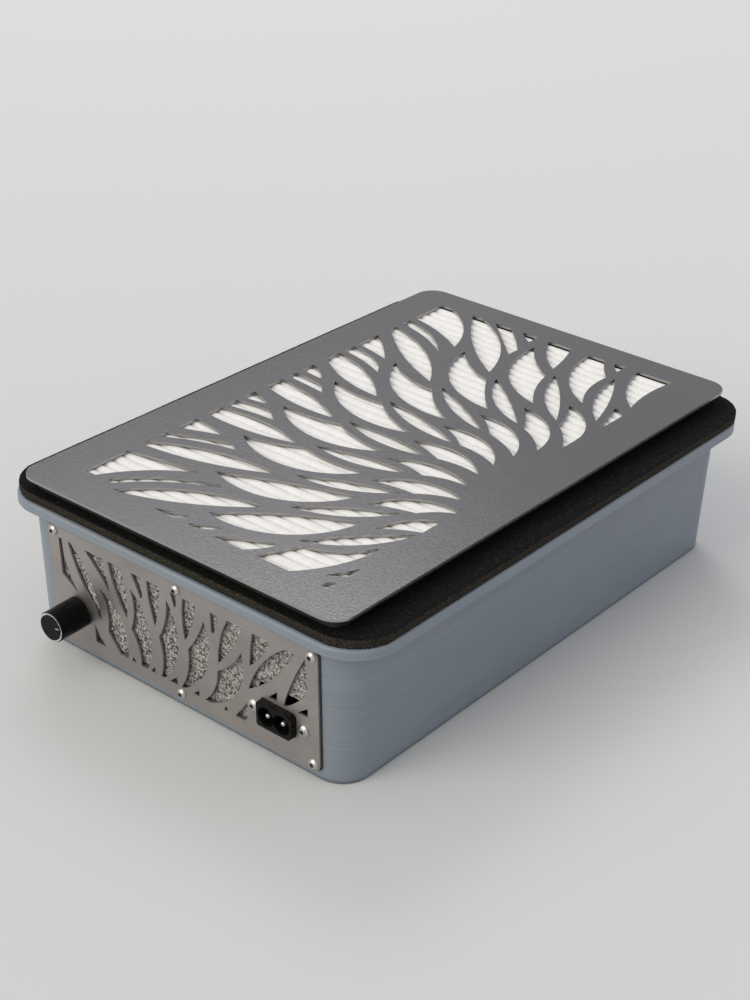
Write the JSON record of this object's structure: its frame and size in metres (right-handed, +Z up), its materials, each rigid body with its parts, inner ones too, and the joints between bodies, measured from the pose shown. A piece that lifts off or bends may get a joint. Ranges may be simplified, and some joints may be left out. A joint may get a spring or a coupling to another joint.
{
  "type": "nail dust collector",
  "caption": "Nail dust collector: a flat leaf-cut grille over a pleated filter, a foam-sealed flange, a drafted tub, and an end panel with vents, a power inlet and a speed knob.",
  "frame": {"origin": "centre of the tub's bottom face", "axes": "+X along the long side, away from the end with the inlet and knob; +Z up, from the base to the grille"},
  "size_m": [0.3099, 0.213, 0.0841],
  "materials": {
    "tub_plastic": "satin, fine layer lines",
    "seal_foam": "open-cell foam",
    "black_plastic": "satin",
    "filter_paper": "matt",
    "sealant": "satin",
    "bright_steel": "bright",
    "grille_coat": "fine-texture powder coat",
    "stainless": "fine grain",
    "black_rubber": "matt",
    "brass": "machined",
    "silencing_foam": "speckled foam",
    "inlet_plastic": "moulded",
    "knob_gloss": "polished",
    "ring_silver": "polished",
    "pointer_white": "matt",
    "pot_metal": "plated",
    "fan_plastic": "moulded",
    "bracket_aluminium": "satin",
    "copper": "enamelled wire",
    "board_green": "lacquered",
    "capacitor_blue": "sleeved"
  },
  "bodies": {
    "base": {"body_shell": "tub_plastic", "foam_gasket": "seal_foam", "vent_panel": "stainless", "panel_gasket": "black_rubber", "panel_screws": "bright_steel", "panel_inserts": "brass", "exhaust_foam": "silencing_foam", "inlet_housing": "inlet_plastic", "inlet_pins": "bright_steel", "inlet_screws": "bright_steel", "inlet_nuts": "bright_steel", "pot_body": "pot_metal", "pot_washer": "bright_steel", "pot_nut": "bright_steel", "fan_deck": "black_plastic", "deck_screws": "bright_steel", "bellmouth_ring": "black_plastic", "fan_scroll": "black_plastic", "motor_bracket": "bracket_aluminium", "motor_bearings": "bright_steel", "stator_core": "bright_steel", "stator_coils": "copper", "motor_mounts": "black_rubber", "motor_screws": "bright_steel", "control_board": "board_green", "board_spacers": "brass", "board_screws": "bright_steel", "heat_sink": "bracket_aluminium", "power_switch": "black_plastic", "capacitor": "capacitor_blue", "terminal_block": "board_green"},
    "cassette": {"filter_frame": "black_plastic", "filter_media": "filter_paper", "filter_sealant": "sealant", "filter_magnets": "bright_steel"},
    "grille": {"grille_plate": "grille_coat", "grille_studs": "bright_steel"},
    "knob": {"control_knob": "knob_gloss", "knob_ring": "ring_silver", "knob_pointer": "pointer_white", "pot_spindle": "pot_metal"},
    "fan_wheel": {"impeller_disc": "fan_plastic", "impeller_shroud": "fan_plastic", "impeller_blades": "fan_plastic", "rotor_cup": "pot_metal", "rotor_magnets": "bright_steel", "rotor_shaft": "bright_steel", "shaft_nut": "brass"}
  },
  "joints": [
    {"name": "filter_lift", "type": "slide", "parent": "base", "child": "cassette", "axis": [0, 0, 1], "range_m": [0, 0.06]},
    {"name": "grille_lift", "type": "slide", "parent": "cassette", "child": "grille", "axis": [0, 0, 1], "range_m": [0, 0.05]},
    {"name": "knob_turn", "type": "hinge", "parent": "base", "child": "knob", "pos_m": [-0.14094, 0.061, 0.02448], "axis": [0.9993, 0, 0.0384], "range_deg": [-222, 78]},
    {"name": "fan_spin", "type": "hinge", "parent": "base", "child": "fan_wheel", "pos_m": [0.025, 0, 0.03], "axis": [0, 0, 1], "continuous": true}
  ]
}
